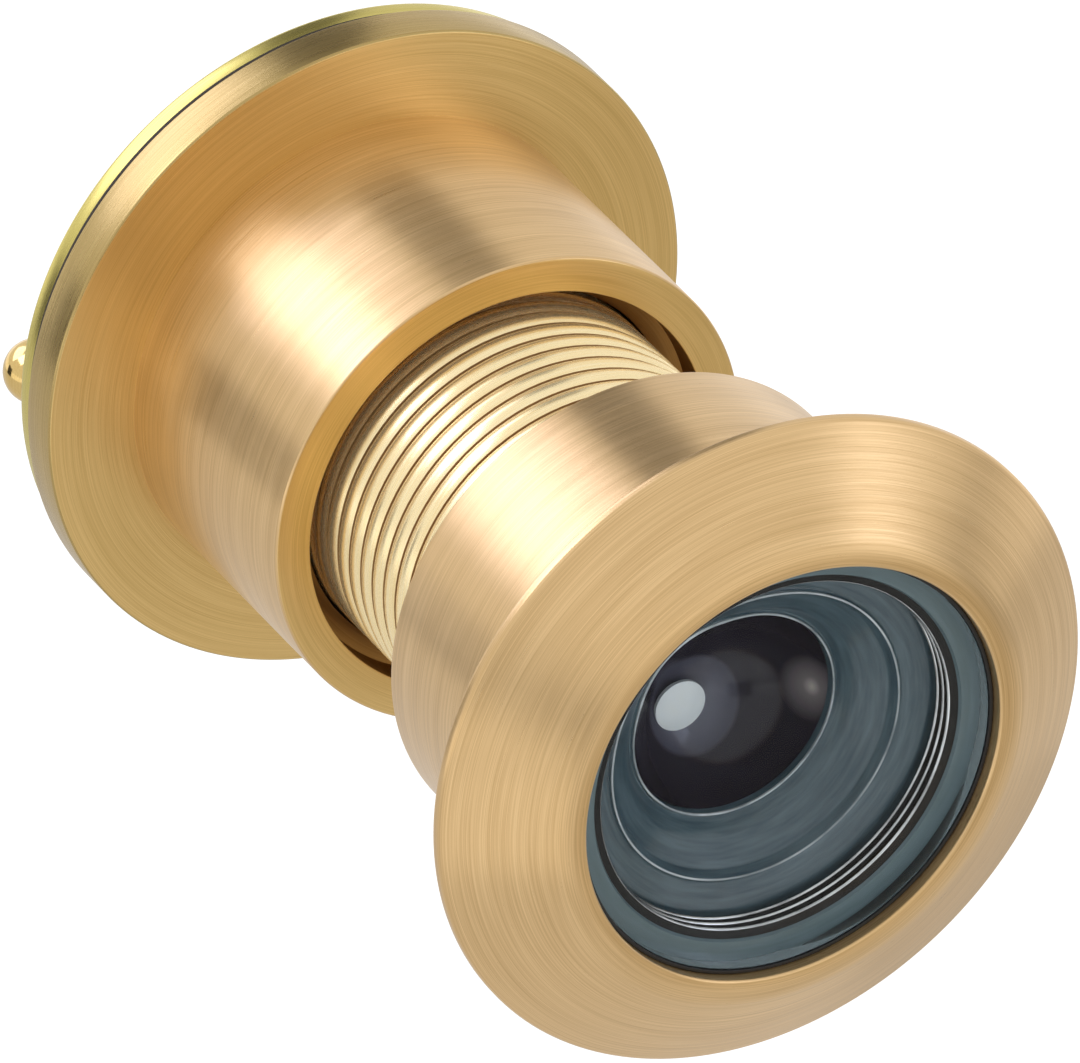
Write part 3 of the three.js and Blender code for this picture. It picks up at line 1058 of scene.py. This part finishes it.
turned(
    "cover_rivet",
    [
        (0, RIVET_FRONT, 0),
        (SHANK_R, RIVET_FRONT, 0),
        (SHANK_R, HEAD_FRONT, 0),
        (HEAD_R, HEAD_FRONT, 0.1),
    ]
    + dome_outline(HEAD_R, HEAD_RIM, RIVET_BACK - HEAD_RIM),
    "inner_half",
    [polished_brass],
    ["cover_pivot_rivet"],
    steps=SMALL_STEPS,
    centre_x=PIVOT_X,
)

# %% [markdown]
# ## Finishes on the pieces that stay as they are
# The rings and lenses deep in the tubes are hardly seen, so their solids are kept and only
# get a finish.

# %% Carried-over pieces
KEPT = {
    "lens_cell": black_paint,
    "third_lens": eye_glass,
    "rear_spacer": black_paint,
    "fourth_lens": eye_glass,
    "field_stop": black_paint,
    "lens_retaining_ring": black_paint,
    "eyepiece_seal": rubber,
    "eyepiece_retaining_ring": satin_brass,
    "cover_friction_washer": washer_steel,
}
for node, material in KEPT.items():
    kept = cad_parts[node]
    kept.data.materials.clear()
    kept.data.materials.append(material)
print(len(KEPT), "solids kept with a new finish")

# %% [markdown]
# ## Floor
# A plain pale floor lies well below the viewer, so it shows no hard shadow. It glows a
# little, which keeps it near white and also lights the metal from below.

# %% Floor
FLOOR_Z = -0.25
FLOOR_GLOW = 0.75
floor_mesh = bpy.data.meshes.new("floor")
shape = bmesh.new()
bmesh.ops.create_grid(shape, x_segments=1, y_segments=1, size=6)
bmesh.ops.translate(shape, vec=(0, 0, FLOOR_Z), verts=shape.verts[:])
shape.to_mesh(floor_mesh)
shape.free()
floor = bpy.data.objects.new("floor", floor_mesh)
bpy.context.collection.objects.link(floor)
floor_material, _, _, floor_shader = new_material("pale_floor")
floor_shader.inputs["Base Color"].default_value = (0.5, 0.5, 0.5, 1)
floor_shader.inputs["Roughness"].default_value = 0.9
floor_shader.inputs["Emission Color"].default_value = (1, 1, 1, 1)
floor_shader.inputs["Emission Strength"].default_value = FLOOR_GLOW
floor_mesh.materials.append(floor_material)
print("floor", round(FLOOR_Z / MM), "mm from the axis")

# %% [markdown]
# ## Light
# Metal only looks like metal when it has something to reflect. Two bright soft panels
# behind and above the left shoulder give the barrels one broad highlight, a small one at
# the right lights the cone, and dark cards between them give the brown bands. They are
# panels with an even glow, because a lamp's hard spot would show in the brass.

# %% Lights
ROOM_GLOW = 0.92
bpy.context.scene.view_settings.view_transform = "Standard"
world = bpy.data.worlds.new("studio")
world.use_nodes = True
room = world.node_tree.nodes["Background"]
room.inputs["Color"].default_value = (1, 1, 1, 1)
room.inputs["Strength"].default_value = ROOM_GLOW
bpy.context.scene.world = world
CENTRE = Vector((0, 0.022, 0))


def panel(name, azimuth, elevation, width, height, radiance, distance=0.6, tint=(1, 1, 1)):
    """A soft light or, with a low radiance, a dark card, at a direction in degrees.

    Its sizes are in metres. It glows evenly, and the camera does not see it."""
    a, e = math.radians(azimuth), math.radians(elevation)
    way = Vector((math.sin(a) * math.cos(e), -math.cos(a) * math.cos(e), math.sin(e)))
    mesh = bpy.data.meshes.new(name)
    shape = bmesh.new()
    bmesh.ops.create_grid(shape, x_segments=1, y_segments=1, size=0.5)
    bmesh.ops.scale(shape, vec=(width, height, 1), verts=shape.verts[:])
    shape.to_mesh(mesh)
    shape.free()
    material = bpy.data.materials.new(name)
    material.use_nodes = True
    nodes = material.node_tree.nodes
    nodes.remove(nodes["Principled BSDF"])
    glow = nodes.new("ShaderNodeEmission")
    glow.inputs["Color"].default_value = (*tint, 1)
    glow.inputs["Strength"].default_value = radiance
    material.node_tree.links.new(glow.outputs[0], nodes["Material Output"].inputs["Surface"])
    mesh.materials.append(material)
    card = bpy.data.objects.new(name, mesh)
    card.location = CENTRE + way * distance
    card.rotation_euler = way.to_track_quat("Z", "Y").to_euler()
    card.visible_camera = False
    bpy.context.collection.objects.link(card)
    return card


panel("key_panel", -156, 32, 0.42, 0.34, 2.5, tint=(1, 1.02, 1.32))
panel("high_left_panel", -116, 47, 0.30, 0.28, 3.6, tint=(1, 1.02, 1.25))
panel("right_fill_panel", 44, 12, 0.14, 0.22, 2.1, tint=(1, 1.05, 1.25))
panel("front_dark_card", -21, -6, 0.25, 0.16, 0.30)
panel("right_dark_low_card", 60, -11, 0.18, 0.22, 0.44, 0.45)
panel("low_left_card", -28, -34, 0.20, 0.20, 1.10, 0.32)
panel("low_right_card", 28.8, -33.2, 0.22, 0.22, 0.52, 0.32, tint=(1.1, 1.0, 0.8))
panel("corner_dark_card", 108, -50, 0.07, 0.07, 0.5, 0.2)
panel("left_dark_card", -131, -6, 0.22, 0.20, 0.06)
panel("right_dark_card", 160, 38, 0.20, 0.42, 0.16)
panel("under_card", 0, -90, 1.4, 1.4, 0.76, 0.2)
